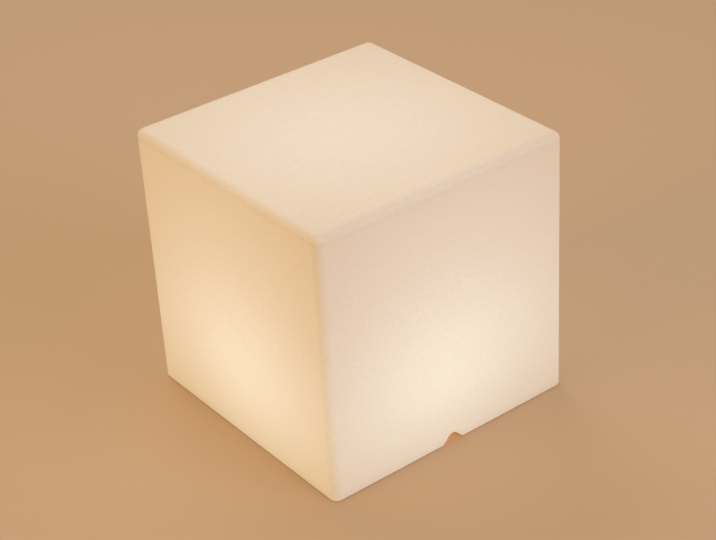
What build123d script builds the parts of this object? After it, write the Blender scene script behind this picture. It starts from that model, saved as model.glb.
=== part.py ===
"""Cube floor light with a sealed, rechargeable light module.

A one-piece moulded shell stands on four rubber pads. A round module is screwed up into a recess in
its underside: a housing with an LED deck and dome above, and a cover with button and charging socket
below. A channel leads from the recess to a notch in the front face, so that a lead can be plugged in
while the cube stands.

Frame: millimetres, +Z up, origin on the floor under the middle of the cube. The notch is at -Y.
Right side up, the module hangs below the recess roof, so its screws and its cover point down.
"""

import math
import os

from build123d import *

os.makedirs("parts", exist_ok=True)

# ---------------------------------------------------------------- shell
cube_edge = 400.0
cube_height = 395.0
wall = 4.0
edge_radius = 11.0
rim_radius = 2.0
pad_proud = 1.0
recess_draft = 3.0
recess_corner = 6.0
arch_radius = 9.5
arch_height = 13.5
arch_slope = 47.0
arch_inner_flare = 1.5
arch_shoulder = 5.0
pad_radius = 10.0
pad_thickness = 2.5
pad_inset = 32.0

# ---------------------------------------------------------------- what holds the module in the shell
fixing_count = 6
insert_radius = 2.8
insert_length = 8.0
insert_bore = 1.95
boss_radius = 7.0
boss_spacing = 1.5
fixing_start_angle = 30.0
gasket_thickness = 1.5
flange_thickness = 3.0
flange_edge = 8.0
flange_margin = 3.6
flange_bevel = 1.0

# ---------------------------------------------------------------- module housing and dome
body_wall = 2.5
body_clearance = 2.5
deck_thickness = 2.5
seal_section = 1.6
seal_play = 0.2
seal_margin = 3.2
dome_height = 17.0
dome_shoulder = 12.0
dome_wall = 2.0
dome_play = 0.3
dome_flange = 4.5
dome_flange_thickness = 2.5
bezel_wall = 1.3
bezel_skirt = 6.0
bezel_play = 0.1

# ---------------------------------------------------------------- cover and screws
plug_room = 18.5
cover_thickness = 3.0
cover_overlap = 6.5
cover_screw_angle = 30.0
post_radius = 3.5
post_sink = 0.5
post_depth = 12.0
shell_screw_hole = 2.3
cover_screw_hole = 1.7
small_screw_hole = 1.2
screw_play = 0.05
screw_head = 2.2
screw_head_height = 1.5
shell_screw_head = 4.0
shell_screw_head_height = 2.6
cover_screw_head = 3.0
cover_screw_head_height = 2.0
screw_end_gap = 1.0
screw_floor = 0.25
head_chamfer_share = 0.3
drive_width_share = 0.3
drive_length_share = 1.2
drive_depth_share = 0.6

# ---------------------------------------------------------------- lighting
led_board_thickness = 1.6
led_board_gap = 2.5
led_size = 5.0
led_height = 1.6
inner_ring = 18.0
inner_count = 8
outer_ring = 36.0
outer_count = 16
led_screw_count = 3
led_screw_angle = 90.0
lead_hole_radius = 3.5

# ---------------------------------------------------------------- battery
cell_radius = 9.2
cell_length = 65.0
cell_nub_radius = 3.0
cell_nub = 1.0
cell_chamfer = 0.5
cell_gap = 0.6
cell_start_y = 1.3
cell_headroom = 1.0
saddle_x = 22.0
saddle_thickness = 2.0
saddle_play = 0.2
saddle_overhang = 3.0
strip_thickness = 0.3
strip_width = 8.0
strip_corner = 2.0
clamp_width = 16.0
clamp_floor = 2.2
clamp_seat_share = 0.6
cradle_share = 0.7
clamp_ear = 3.0
clamp_ear_margin = 4.0
clamp_post_radius = 2.8
clamp_post_gap = 1.0

# ---------------------------------------------------------------- control board
control_width = 42.0
control_depth = 30.0
control_centre_x = 15.0
control_thickness = 1.6
control_standoff = 5.9
control_gap = 0.5
standoff_radius = 2.5
standoff_inset = 3.0
board_corner = 2.0
plug_inset = 4.0
plug_offset = 3.0
chamber_clearance = 1.9
connector_width = 7.0
connector_depth = 5.0
connector_height = 5.0
connector_chamfer = 0.5
lead_pitch = 2.4
lead_radius = 0.7
lead_bend_share = 0.45
inductor_place = (3.0, -7.0)
inductor_width = 7.3
inductor_corner = 1.5
inductor_height = 4.0
chip_places = [(-3.0, 0.0), (6.0, 3.0)]
chip_width = 5.0
chip_height = 1.2
capacitor_places = [(14.0, 0.0), (14.0, -7.5)]
capacitor_radius = 3.15
capacitor_height = 7.0

# ---------------------------------------------------------------- button and its switch
button_x = 20.0
button_radius = 6.7
button_play = 0.3
button_proud = 1.7
button_dish = 0.5
button_dish_margin = 1.0
button_round = 0.6
button_travel = 0.8
button_lip = 1.5
button_lip_thickness = 0.8
button_boss_radius = 3.0
guard_wall = 1.6
guard_height = 0.8
membrane_rim = 2.5
membrane_rim_height = 0.8
membrane_web = 0.5
touch_gap = 0.05
clamp_ring_width = 3.0
clamp_ring_height = 1.3
collar_wall = 1.4
collar_play = 0.1
switch_size = 6.0
switch_height = 3.5
plunger_radius = 1.75
plunger_chamfer = 0.3
switch_corner = 0.6
plunger_play = 0.15
plunger_inside = 1.7
plunger_reach = 1.1

# ---------------------------------------------------------------- charging socket and its flap
jack_x = -20.0
jack_radius = 5.5
jack_flange_radius = 7.2
jack_flange_thickness = 1.2
jack_length = 15.0
jack_play = 0.1
jack_bore = 3.1
jack_bore_depth = 9.5
jack_bore_chamfer = 0.4
jack_pin_round = 0.6
jack_pin_radius = 1.0
jack_pin_setback = 1.7
nut_across_flats = 14.0
nut_thickness = 2.5
tag_width = 2.0
tag_thickness = 0.4
tag_height = 4.0
tag_pitch = 4.4
flap_width = 17.0
flap_thickness = 1.6
flap_hinge_margin = 2.3
flap_tip_margin = 1.3
flap_corner = 4.0
flap_ridge_inset = 2.2
flap_ridge = 0.6
flap_ridge_width = 1.8
nib_play = 0.4
nib_wall = 1.1
nib_length = 2.4
nib_chamfer = 0.5
anchor_gap = 0.5
anchor_depth = 6.0
anchor_web = 0.4
fold_play = 0.15
stem_radius = 2.0
stem_play = 0.1
stem_pitch = 8.0
barb_radius = 2.9
barb_height = 2.2
barb_taper = 25.0

# ---------------------------------------------------------------- charge lamp
pipe_radius = 1.5
pipe_play = 0.1
pipe_flange = 2.4
pipe_flange_thickness = 1.0
pipe_gap = 0.2
charge_led_size = 2.0
charge_led_height = 0.8

# ---------------------------------------------------------------- plan of the module's contents
cell_ys = [cell_start_y + cell_radius, cell_start_y + 3 * cell_radius + cell_gap]
cells_middle_y = (cell_ys[0] + cell_ys[1]) / 2
cells_far_y = cell_ys[1] + cell_radius
post_reach = cell_radius + clamp_post_gap + clamp_post_radius
clamp_post_ys = [cell_ys[0] - post_reach, cell_ys[1] + post_reach]
clamp_near_y = clamp_post_ys[0] - clamp_ear_margin
clamp_far_y = clamp_post_ys[1] + clamp_ear_margin
control_y = clamp_near_y - control_gap - control_depth / 2
control_corner_x = abs(control_centre_x) + control_width / 2
control_corner_y = abs(control_y) + control_depth / 2
cells_reach = math.hypot(cell_length / 2, cells_far_y)
control_reach = math.hypot(control_corner_x, control_corner_y)

chamber_radius = max(cells_reach, control_reach) + chamber_clearance
body_radius = chamber_radius + body_wall
opening_radius = body_radius + body_clearance
fixing_circle = opening_radius + boss_spacing + boss_radius
flange_radius = fixing_circle + flange_edge
cover_radius = chamber_radius + cover_overlap
post_circle = chamber_radius - post_radius + post_sink
led_screw_circle = (inner_ring + outer_ring) / 2
lead_hole_y = -led_screw_circle

post_x = post_circle * math.cos(math.radians(cover_screw_angle))
post_y = post_circle * math.sin(math.radians(cover_screw_angle))
standoff_x = control_width / 2 - standoff_inset
standoff_y = control_depth / 2 - standoff_inset
four_sides = [(-1, -1), (-1, 1), (1, -1), (1, 1)]
post_places = [(u * post_x, v * post_y) for u, v in four_sides]
standoff_places = [(control_centre_x + u * standoff_x, control_y + v * standoff_y) for u, v in four_sides]
button_place = (button_x, control_y)
jack_place = (jack_x, control_y)
pipe_place = ((button_x + jack_x) / 2, control_y)

# ---------------------------------------------------------------- levels, from the floor up
shell_bottom = pad_proud
cover_face = shell_bottom + plug_room
cover_seat = cover_face + cover_thickness
flange_top = cover_seat + flange_thickness
recess_roof = flange_top + gasket_thickness
recess_depth = recess_roof - shell_bottom
control_bottom = cover_seat + control_standoff
control_top = control_bottom + control_thickness
cell_centre_z = control_bottom + clamp_floor + cell_radius
deck_bottom = cell_centre_z + cell_radius + cell_headroom
deck_top = deck_bottom + deck_thickness
led_board_top = deck_top + led_board_thickness
clamp_seat = cell_centre_z - cell_radius * clamp_seat_share

recess_slope = recess_depth * math.tan(math.radians(recess_draft))
recess_radius = flange_radius + flange_margin + recess_corner + recess_slope
arch_flare = wall + arch_inner_flare


def write(builder, name):
    """Labels a finished piece and writes it under its own name."""
    builder.part.label = name
    export_step(builder.part, f"parts/{name}.step")


def pan_screw(shank_radius, length, head_radius, head_height):
    """A pan-head screw that points up from its seat at the origin, with its head below."""
    slot_width = head_radius * drive_width_share
    slot_length = head_radius * drive_length_share
    with BuildPart() as screw:
        with BuildSketch(Plane.XY.offset(-head_height)):
            Circle(head_radius)
        extrude(amount=head_height)
        chamfer(screw.edges().sort_by(Axis.Z)[0], head_height * head_chamfer_share)
        with BuildSketch():
            Circle(shank_radius)
        extrude(amount=length)
        with BuildSketch(Plane.XY.offset(-head_height)):
            Rectangle(slot_width, slot_length)
            Rectangle(slot_length, slot_width)
        extrude(amount=head_height * drive_depth_share, mode=Mode.SUBTRACT)
    return screw.part


def ring_seal(name, circle, bottom_z):
    """A square-section ring seal that fills the depth of its groove."""
    with BuildPart() as seal:
        with BuildSketch(Plane.XY.offset(bottom_z)):
            Circle(circle + seal_section / 2)
            Circle(circle - seal_section / 2, mode=Mode.SUBTRACT)
        extrude(amount=seal_section)
    write(seal, name)


def fixing_places():
    """Places of the fixings round the recess roof."""
    return PolarLocations(fixing_circle, fixing_count, start_angle=fixing_start_angle)


def led_screw_places():
    """Places of the screws that hold the LED board."""
    return PolarLocations(led_screw_circle, led_screw_count, start_angle=led_screw_angle)


# ---------------------------------------------------------------- underside recess and cable channel
def underside_pan(growth):
    """The recess and its channel as one solid: their inner form, or with a growth of one wall the
    form of the skin behind them."""
    roof_z = recess_roof + growth
    mouth_radius = recess_radius + growth
    channel_length = cube_edge / 2 - recess_radius + recess_corner + growth
    arch_centre_z = shell_bottom + arch_height - arch_radius
    slope = math.radians(arch_slope)
    turn_x = arch_radius * math.sin(slope)
    turn_z = arch_centre_z + arch_radius * math.cos(slope)
    foot_x = turn_x + (turn_z - shell_bottom) / math.tan(slope)
    reach_x = foot_x + arch_flare + arch_shoulder
    with BuildPart() as pan:
        with BuildSketch(Plane.XZ):
            with BuildLine():
                Polyline(
                    (0, shell_bottom),
                    (mouth_radius, shell_bottom),
                    (mouth_radius - recess_slope, roof_z),
                    (0, roof_z),
                    close=True,
                )
            make_face()
        revolve(axis=Axis.Z)
        if growth:
            chamfer(pan.edges().sort_by(Axis.Z)[-1], recess_corner)
        else:
            fillet(pan.edges().sort_by(Axis.Z)[-1], recess_corner)
        with BuildSketch(Plane.XZ.offset(cube_edge / 2)) as arch_plan:
            Polygon(
                (-turn_x, turn_z),
                (turn_x, turn_z),
                (foot_x, shell_bottom),
                (reach_x, shell_bottom),
                (reach_x, 0),
                (-reach_x, 0),
                (-reach_x, shell_bottom),
                (-foot_x, shell_bottom),
                align=None,
            )
            fillet(arch_plan.vertices().group_by(Axis.Y)[1].sort_by(Axis.X)[1:3], arch_flare)
            with Locations((0, arch_centre_z)):
                Circle(arch_radius)
            if growth:
                offset(amount=growth)
        extrude(amount=-channel_length)
    return pan.part


pan_inside = underside_pan(0)
pan_outside = underside_pan(wall)

with BuildPart() as cavity:
    with BuildSketch(Plane.XY.offset(shell_bottom + wall)):
        Rectangle(cube_edge - 2 * wall, cube_edge - 2 * wall)
    extrude(amount=cube_height - 2 * wall)
    rounded_edges = cavity.edges().filter_by(Axis.Z) + cavity.edges().group_by(Axis.Z)[-1]
    fillet(rounded_edges, edge_radius - wall)
    add(pan_outside, mode=Mode.SUBTRACT)
    with BuildSketch(Plane.XY.offset(recess_roof)):
        with fixing_places():
            Circle(boss_radius)
    extrude(amount=insert_length + wall, mode=Mode.SUBTRACT)

with BuildPart() as cube_shell:
    with BuildSketch(Plane.XY.offset(shell_bottom)):
        Rectangle(cube_edge, cube_edge)
    extrude(amount=cube_height)
    rounded_edges = cube_shell.edges().filter_by(Axis.Z) + cube_shell.edges().group_by(Axis.Z)[-1]
    fillet(rounded_edges, edge_radius)
    add(pan_inside, mode=Mode.SUBTRACT)
    fillet(cube_shell.edges().group_by(Axis.Z)[0], rim_radius)
    add(cavity.part, mode=Mode.SUBTRACT)
    with BuildSketch(Plane.XY.offset(recess_roof)):
        Circle(opening_radius)
    extrude(amount=wall, mode=Mode.SUBTRACT)
    with BuildSketch(Plane.XY.offset(recess_roof)):
        with fixing_places():
            Circle(insert_radius)
    extrude(amount=insert_length + wall / 2, mode=Mode.SUBTRACT)
    with BuildSketch(Plane.XY.offset(shell_bottom)):
        with GridLocations(cube_edge - 2 * pad_inset, cube_edge - 2 * pad_inset, 2, 2):
            Circle(pad_radius)
    extrude(amount=pad_thickness - pad_proud, mode=Mode.SUBTRACT)
write(cube_shell, "cube_shell")

with BuildPart() as threaded_inserts:
    with BuildSketch(Plane.XY.offset(recess_roof)):
        with fixing_places():
            Circle(insert_radius)
            Circle(insert_bore, mode=Mode.SUBTRACT)
    extrude(amount=insert_length)
write(threaded_inserts, "threaded_inserts")

with BuildPart() as foot_pads:
    with BuildSketch():
        with GridLocations(cube_edge - 2 * pad_inset, cube_edge - 2 * pad_inset, 2, 2):
            Circle(pad_radius)
    extrude(amount=pad_thickness)
    chamfer(foot_pads.edges().group_by(Axis.Z)[0], pad_proud / 2)
write(foot_pads, "foot_pads")

# ---------------------------------------------------------------- module housing
seal_groove = seal_section + 2 * seal_play
seal_circle = cover_radius - seal_margin
dome_seal_circle = body_radius - dome_flange / 2
saddle_depth_y = cell_ys[1] - cell_ys[0] + 2 * cell_radius + 2 * saddle_overhang

with BuildPart() as module_housing:
    with BuildSketch(Plane.XY.offset(cover_seat)):
        Circle(flange_radius)
    extrude(amount=flange_thickness)
    chamfer(module_housing.edges().group_by(Axis.Z)[0], flange_bevel)
    with BuildSketch(Plane.XY.offset(cover_seat)):
        Circle(body_radius)
    extrude(amount=deck_top - cover_seat)
    with BuildSketch(Plane.XY.offset(cover_seat)):
        Circle(chamber_radius)
    extrude(amount=deck_bottom - cover_seat, mode=Mode.SUBTRACT)
    # posts for the cover's screws, and two shorter ones for the battery clamp
    with BuildSketch(Plane.XY.offset(cover_seat)):
        with Locations(*post_places):
            Circle(post_radius)
    extrude(amount=deck_bottom - cover_seat)
    with BuildSketch(Plane.XY.offset(clamp_seat)):
        with Locations(*[(0, y) for y in clamp_post_ys]):
            Circle(clamp_post_radius)
    extrude(amount=deck_bottom - clamp_seat)
    # two ribs cut to the cells' curve hang from the deck
    for rib_x in (-saddle_x, saddle_x):
        with BuildSketch(Plane.YZ.offset(rib_x)):
            with Locations((cells_middle_y, deck_bottom)):
                Rectangle(saddle_depth_y, cell_radius, align=(Align.CENTER, Align.MAX))
            with Locations(*[(y, cell_centre_z) for y in cell_ys]):
                Circle(cell_radius + saddle_play, mode=Mode.SUBTRACT)
        extrude(amount=saddle_thickness / 2, both=True)
    # screw holes in the flange, the posts and the deck
    with BuildSketch(Plane.XY.offset(cover_seat)):
        with fixing_places():
            Circle(shell_screw_hole)
    extrude(amount=flange_thickness, mode=Mode.SUBTRACT)
    with BuildSketch(Plane.XY.offset(cover_seat)):
        with Locations(*post_places):
            Circle(cover_screw_hole)
    extrude(amount=post_depth, mode=Mode.SUBTRACT)
    with BuildSketch(Plane.XY.offset(clamp_seat)):
        with Locations(*[(0, y) for y in clamp_post_ys]):
            Circle(small_screw_hole)
    extrude(amount=post_depth / 2, mode=Mode.SUBTRACT)
    with BuildSketch(Plane.XY.offset(deck_top)):
        with led_screw_places():
            Circle(small_screw_hole)
    extrude(amount=screw_floor - deck_thickness, mode=Mode.SUBTRACT)
    with BuildSketch(Plane.XY.offset(deck_bottom)):
        with Locations((0, lead_hole_y)):
            Circle(lead_hole_radius)
    extrude(amount=deck_thickness, mode=Mode.SUBTRACT)
    # ring-seal grooves: in the flange for the cover, and in the deck's rim for the dome
    with BuildSketch(Plane.XY.offset(cover_seat)):
        Circle(seal_circle + seal_groove / 2)
        Circle(seal_circle - seal_groove / 2, mode=Mode.SUBTRACT)
    extrude(amount=seal_section, mode=Mode.SUBTRACT)
    with BuildSketch(Plane.XY.offset(deck_top)):
        Circle(dome_seal_circle + seal_groove / 2)
        Circle(dome_seal_circle - seal_groove / 2, mode=Mode.SUBTRACT)
    extrude(amount=-seal_section, mode=Mode.SUBTRACT)
write(module_housing, "module_housing")

ring_seal("cover_seal", seal_circle, cover_seat)
ring_seal("dome_seal", dome_seal_circle, deck_top - seal_section)

with BuildPart() as module_gasket:
    with BuildSketch(Plane.XY.offset(flange_top)):
        Circle(flange_radius - flange_bevel)
        Circle(opening_radius, mode=Mode.SUBTRACT)
        with fixing_places():
            Circle(shell_screw_hole, mode=Mode.SUBTRACT)
    extrude(amount=gasket_thickness)
write(module_gasket, "module_gasket")

shell_screw_length = flange_thickness + gasket_thickness + insert_length - screw_end_gap
shell_screw = pan_screw(
    insert_bore - screw_play, shell_screw_length, shell_screw_head, shell_screw_head_height
)
with BuildPart() as module_screws:
    with Locations((0, 0, cover_seat)):
        with fixing_places():
            add(shell_screw)
write(module_screws, "module_screws")

# ---------------------------------------------------------------- dome over the LEDs
dome_radius = body_radius - dome_flange + dome_wall
bezel_inner = body_radius + bezel_play
bezel_outer = bezel_inner + bezel_wall

with BuildPart() as diffuser_dome:
    with BuildSketch(Plane.XY.offset(deck_top)):
        Circle(dome_radius)
    extrude(amount=dome_height)
    fillet(diffuser_dome.edges().sort_by(Axis.Z)[-1], dome_shoulder)
    offset(amount=-dome_wall, openings=diffuser_dome.faces().sort_by(Axis.Z)[0])
    with BuildSketch(Plane.XY.offset(deck_top)):
        Circle(body_radius)
        Circle(dome_radius - dome_wall / 2, mode=Mode.SUBTRACT)
    extrude(amount=dome_flange_thickness)
write(diffuser_dome, "diffuser_dome")

with BuildPart() as dome_bezel:
    with BuildSketch(Plane.XY.offset(deck_top - bezel_skirt)):
        Circle(bezel_outer)
        Circle(bezel_inner, mode=Mode.SUBTRACT)
    extrude(amount=bezel_skirt + dome_flange_thickness)
    with BuildSketch(Plane.XY.offset(deck_top + dome_flange_thickness)):
        Circle(bezel_outer)
        Circle(dome_radius + dome_play, mode=Mode.SUBTRACT)
    extrude(amount=bezel_wall)
    chamfer(dome_bezel.edges().group_by(Axis.Z)[-1].sort_by(SortBy.RADIUS)[-1], bezel_wall / 2)
write(dome_bezel, "dome_bezel")

# ---------------------------------------------------------------- LED board
with BuildPart() as led_board:
    with BuildSketch(Plane.XY.offset(deck_top)):
        Circle(dome_radius - dome_wall - led_board_gap)
        with Locations((0, lead_hole_y)):
            Circle(lead_hole_radius, mode=Mode.SUBTRACT)
        with led_screw_places():
            Circle(small_screw_hole + screw_play, mode=Mode.SUBTRACT)
    extrude(amount=led_board_thickness)
write(led_board, "led_board")

with BuildPart() as led_chips:
    with BuildSketch(Plane.XY.offset(led_board_top)):
        with PolarLocations(inner_ring, inner_count, start_angle=90):
            Rectangle(led_size, led_size)
        with PolarLocations(outer_ring, outer_count, start_angle=90):
            Rectangle(led_size, led_size)
    extrude(amount=led_height)
write(led_chips, "led_chips")

small_shank = small_screw_hole - screw_play
led_screw_length = led_board_thickness + deck_thickness - 2 * screw_floor
led_board_screw = pan_screw(small_shank, led_screw_length, screw_head, screw_head_height)
with BuildPart() as led_board_screws:
    with Locations((0, 0, led_board_top)):
        with led_screw_places():
            add(led_board_screw, rotation=(180, 0, 0))
write(led_board_screws, "led_board_screws")

# ---------------------------------------------------------------- battery
with BuildPart() as battery_cells:
    with BuildSketch(Plane.YZ.offset(-cell_length / 2)):
        with Locations(*[(y, cell_centre_z) for y in cell_ys]):
            Circle(cell_radius)
    extrude(amount=cell_length)
    chamfer(battery_cells.edges().filter_by(GeomType.CIRCLE), cell_chamfer)
    with BuildSketch(Plane.YZ.offset(cell_length / 2)):
        with Locations(*[(y, cell_centre_z) for y in cell_ys]):
            Circle(cell_nub_radius)
    extrude(amount=cell_nub)
write(battery_cells, "battery_cells")

negative_end = -cell_length / 2 - strip_thickness
positive_end = cell_length / 2 + cell_nub
strip_length = cell_ys[1] - cell_ys[0] + strip_width
with BuildPart() as nickel_strips:
    for strip_x in (negative_end, positive_end):
        with BuildSketch(Plane.YZ.offset(strip_x)):
            with Locations((cells_middle_y, cell_centre_z)):
                RectangleRounded(strip_length, strip_width, strip_corner)
        extrude(amount=strip_thickness)
write(nickel_strips, "nickel_strips")

cradle_length = cell_ys[1] - cell_ys[0] + 2 * cell_radius * cradle_share
with BuildPart() as battery_clamp:
    with BuildSketch(Plane.YZ):
        with Locations((cells_middle_y, clamp_seat)):
            Rectangle(clamp_far_y - clamp_near_y, clamp_ear, align=(Align.CENTER, Align.MAX))
            Rectangle(cradle_length, clamp_seat - control_bottom, align=(Align.CENTER, Align.MAX))
        with Locations(*[(y, cell_centre_z) for y in cell_ys]):
            Circle(cell_radius + saddle_play, mode=Mode.SUBTRACT)
    extrude(amount=clamp_width / 2, both=True)
    ear_edges = battery_clamp.edges().filter_by(Axis.Z).group_by(Axis.Y)
    fillet(ear_edges[0] + ear_edges[-1], clamp_ear)
    with BuildSketch(Plane.XY.offset(clamp_seat)):
        with Locations(*[(0, y) for y in clamp_post_ys]):
            Circle(small_screw_hole + screw_play)
    extrude(amount=-clamp_ear, mode=Mode.SUBTRACT)
write(battery_clamp, "battery_clamp")

clamp_screw_length = clamp_ear + post_depth / 2 - screw_end_gap
clamp_screw = pan_screw(small_shank, clamp_screw_length, screw_head, screw_head_height)
with BuildPart() as clamp_screws:
    with Locations(*[(0, y, clamp_seat - clamp_ear) for y in clamp_post_ys]):
        add(clamp_screw)
write(clamp_screws, "clamp_screws")

# ---------------------------------------------------------------- cover
button_hole = button_radius + button_play
lip_radius = button_radius + button_lip
lip_seat = cover_seat - button_lip_thickness - button_travel
membrane_radius = lip_radius + button_play + membrane_rim
collar_inner = membrane_radius + collar_play
collar_height = membrane_rim_height + clamp_ring_height
hinge_y = control_y + jack_flange_radius + flap_hinge_margin
hinge_z = cover_face - flap_thickness / 2
flap_bottom = cover_face - flap_thickness
flap_tip_y = control_y - jack_flange_radius - flap_tip_margin
anchor_start_y = hinge_y + flap_thickness / 2 + anchor_gap
stem_y = anchor_start_y + anchor_depth / 2
stem_places = [(jack_x - stem_pitch / 2, stem_y), (jack_x + stem_pitch / 2, stem_y)]

with BuildPart() as bottom_cover:
    with BuildSketch(Plane.XY.offset(cover_face)):
        Circle(cover_radius)
    extrude(amount=cover_thickness)
    chamfer(bottom_cover.edges().group_by(Axis.Z)[0], flange_bevel)
    # guard ring round the button, outside; membrane collar and board standoffs, inside
    with BuildSketch(Plane.XY.offset(cover_face)):
        with Locations(button_place):
            Circle(button_hole + guard_wall)
    extrude(amount=-guard_height)
    chamfer(bottom_cover.edges().group_by(Axis.Z)[0], guard_height / 2)
    with BuildSketch(Plane.XY.offset(cover_seat)):
        with Locations(button_place):
            Circle(collar_inner + collar_wall)
            Circle(collar_inner, mode=Mode.SUBTRACT)
    extrude(amount=collar_height)
    with BuildSketch(Plane.XY.offset(cover_seat)):
        with Locations(*standoff_places):
            Circle(standoff_radius)
    extrude(amount=control_standoff)
    # the button's hole, with a wider seat for its lip
    with BuildSketch(Plane.XY.offset(cover_face - guard_height)):
        with Locations(button_place):
            Circle(button_hole)
    extrude(amount=guard_height + cover_thickness, mode=Mode.SUBTRACT)
    with BuildSketch(Plane.XY.offset(lip_seat)):
        with Locations(button_place):
            Circle(lip_radius + button_play)
    extrude(amount=cover_seat - lip_seat, mode=Mode.SUBTRACT)
    # the socket's hole and the seat for its flange
    with BuildSketch(Plane.XY.offset(cover_face)):
        with Locations(jack_place):
            Circle(jack_radius + jack_play)
    extrude(amount=cover_thickness, mode=Mode.SUBTRACT)
    with BuildSketch(Plane.XY.offset(cover_face)):
        with Locations(jack_place):
            Circle(jack_flange_radius + jack_play)
    extrude(amount=jack_flange_thickness, mode=Mode.SUBTRACT)
    # holes for the cover's screws, the light pipe and the flap's stems
    with BuildSketch(Plane.XY.offset(cover_face)):
        with Locations(*post_places):
            Circle(cover_screw_hole + screw_play)
        with Locations(pipe_place):
            Circle(pipe_radius + pipe_play)
        with Locations(*stem_places):
            Circle(stem_radius + stem_play)
    extrude(amount=cover_thickness, mode=Mode.SUBTRACT)
    with BuildSketch(Plane.XY.offset(control_bottom)):
        with Locations(*standoff_places):
            Circle(small_screw_hole)
    extrude(amount=-control_standoff, mode=Mode.SUBTRACT)
write(bottom_cover, "bottom_cover")

cover_screw_length = cover_thickness + post_depth - 2 * screw_end_gap
cover_screw = pan_screw(
    cover_screw_hole - screw_play, cover_screw_length, cover_screw_head, cover_screw_head_height
)
with BuildPart() as cover_screws:
    with Locations(*[(x, y, cover_face) for x, y in post_places]):
        add(cover_screw)
write(cover_screws, "cover_screws")

# ---------------------------------------------------------------- power button, membrane and switch
button_face = cover_face - button_proud
dish_radius = (button_radius - button_dish_margin) ** 2 / (2 * button_dish)
switch_bottom = control_bottom - switch_height
plunger_bottom = switch_bottom - plunger_reach

with BuildPart() as power_button:
    with BuildSketch(Plane.XY.offset(button_face)):
        with Locations(button_place):
            Circle(button_radius)
    extrude(amount=lip_seat - button_face)
    fillet(power_button.edges().group_by(Axis.Z)[0], button_round)
    with BuildSketch(Plane.XY.offset(lip_seat)):
        with Locations(button_place):
            Circle(lip_radius)
    extrude(amount=button_lip_thickness)
    with BuildSketch(Plane.XY.offset(lip_seat)):
        with Locations(button_place):
            Circle(button_boss_radius)
    extrude(amount=cover_seat - touch_gap - lip_seat)
    # shallow finger dish in the pressed face
    with Locations((button_x, control_y, button_face + button_dish - dish_radius)):
        Sphere(dish_radius, mode=Mode.SUBTRACT)
write(power_button, "power_button")

with BuildPart() as button_membrane:
    with BuildSketch(Plane.XY.offset(cover_seat)):
        with Locations(button_place):
            Circle(membrane_radius)
    extrude(amount=membrane_rim_height)
    with BuildSketch(Plane.XY.offset(cover_seat + membrane_web)):
        with Locations(button_place):
            Circle(membrane_radius - membrane_rim)
    extrude(amount=membrane_rim_height, mode=Mode.SUBTRACT)
    with BuildSketch(Plane.XY.offset(cover_seat)):
        with Locations(button_place):
            Circle(plunger_radius)
    extrude(amount=plunger_bottom - touch_gap - cover_seat)
write(button_membrane, "button_membrane")

with BuildPart() as membrane_ring:
    with BuildSketch(Plane.XY.offset(cover_seat + membrane_rim_height)):
        with Locations(button_place):
            Circle(membrane_radius)
            Circle(membrane_radius - clamp_ring_width, mode=Mode.SUBTRACT)
    extrude(amount=clamp_ring_height)
write(membrane_ring, "membrane_ring")

with BuildPart() as switch_plunger:
    with BuildSketch(Plane.XY.offset(plunger_bottom)):
        with Locations(button_place):
            Circle(plunger_radius)
    extrude(amount=plunger_reach + plunger_inside)
    chamfer(switch_plunger.edges().group_by(Axis.Z)[0], plunger_chamfer)
write(switch_plunger, "switch_plunger")

with BuildPart() as switch_body:
    with BuildSketch(Plane.XY.offset(switch_bottom)):
        with Locations(button_place):
            Rectangle(switch_size, switch_size)
    extrude(amount=switch_height)
    chamfer(switch_body.edges().filter_by(Axis.Z), switch_corner)
    with BuildSketch(Plane.XY.offset(switch_bottom)):
        with Locations(button_place):
            Circle(plunger_radius + plunger_play)
    extrude(amount=plunger_inside + button_travel + plunger_play, mode=Mode.SUBTRACT)
write(switch_body, "switch_body")

# ---------------------------------------------------------------- control board
battery_plug = (control_centre_x - plug_offset, control_y + control_depth / 2 - plug_inset)
led_plug = (0.0, lead_hole_y)
socket_plug = (control_centre_x - control_width / 2 + plug_inset, control_y + plug_offset)
plug_top = control_top + connector_height

with BuildPart() as control_board:
    with BuildSketch(Plane.XY.offset(control_bottom)):
        with Locations((control_centre_x, control_y)):
            RectangleRounded(control_width, control_depth, board_corner)
        with Locations(*standoff_places):
            Circle(small_screw_hole + screw_play, mode=Mode.SUBTRACT)
    extrude(amount=control_thickness)
write(control_board, "control_board")

with BuildPart() as board_connectors:
    with BuildSketch(Plane.XY.offset(control_top)):
        with Locations(battery_plug, led_plug):
            Rectangle(connector_width, connector_depth)
        with Locations(socket_plug):
            Rectangle(connector_depth, connector_width)
    extrude(amount=connector_height)
    chamfer(board_connectors.edges().filter_by(Axis.Z), connector_chamfer)
write(board_connectors, "board_connectors")


def on_board(place):
    """A place that is given from the control board's middle."""
    return (control_centre_x + place[0], control_y + place[1])


with BuildPart() as board_parts:
    # inductor, then the driver and charger chips, then two capacitors
    with BuildSketch(Plane.XY.offset(control_top)):
        with Locations(on_board(inductor_place)):
            RectangleRounded(inductor_width, inductor_width, inductor_corner)
    extrude(amount=inductor_height)
    with BuildSketch(Plane.XY.offset(control_top)):
        with Locations(*[on_board(place) for place in chip_places]):
            Rectangle(chip_width, chip_width)
    extrude(amount=chip_height)
    with BuildSketch(Plane.XY.offset(control_top)):
        with Locations(*[on_board(place) for place in capacitor_places]):
            Circle(capacitor_radius)
    extrude(amount=capacitor_height)
write(board_parts, "board_parts")

board_screw_length = control_thickness + control_standoff - screw_end_gap
board_screw = pan_screw(small_shank, board_screw_length, screw_head, screw_head_height)
with BuildPart() as board_screws:
    with Locations(*[(x, y, control_top) for x, y in standoff_places]):
        add(board_screw, rotation=(180, 0, 0))
write(board_screws, "board_screws")

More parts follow.
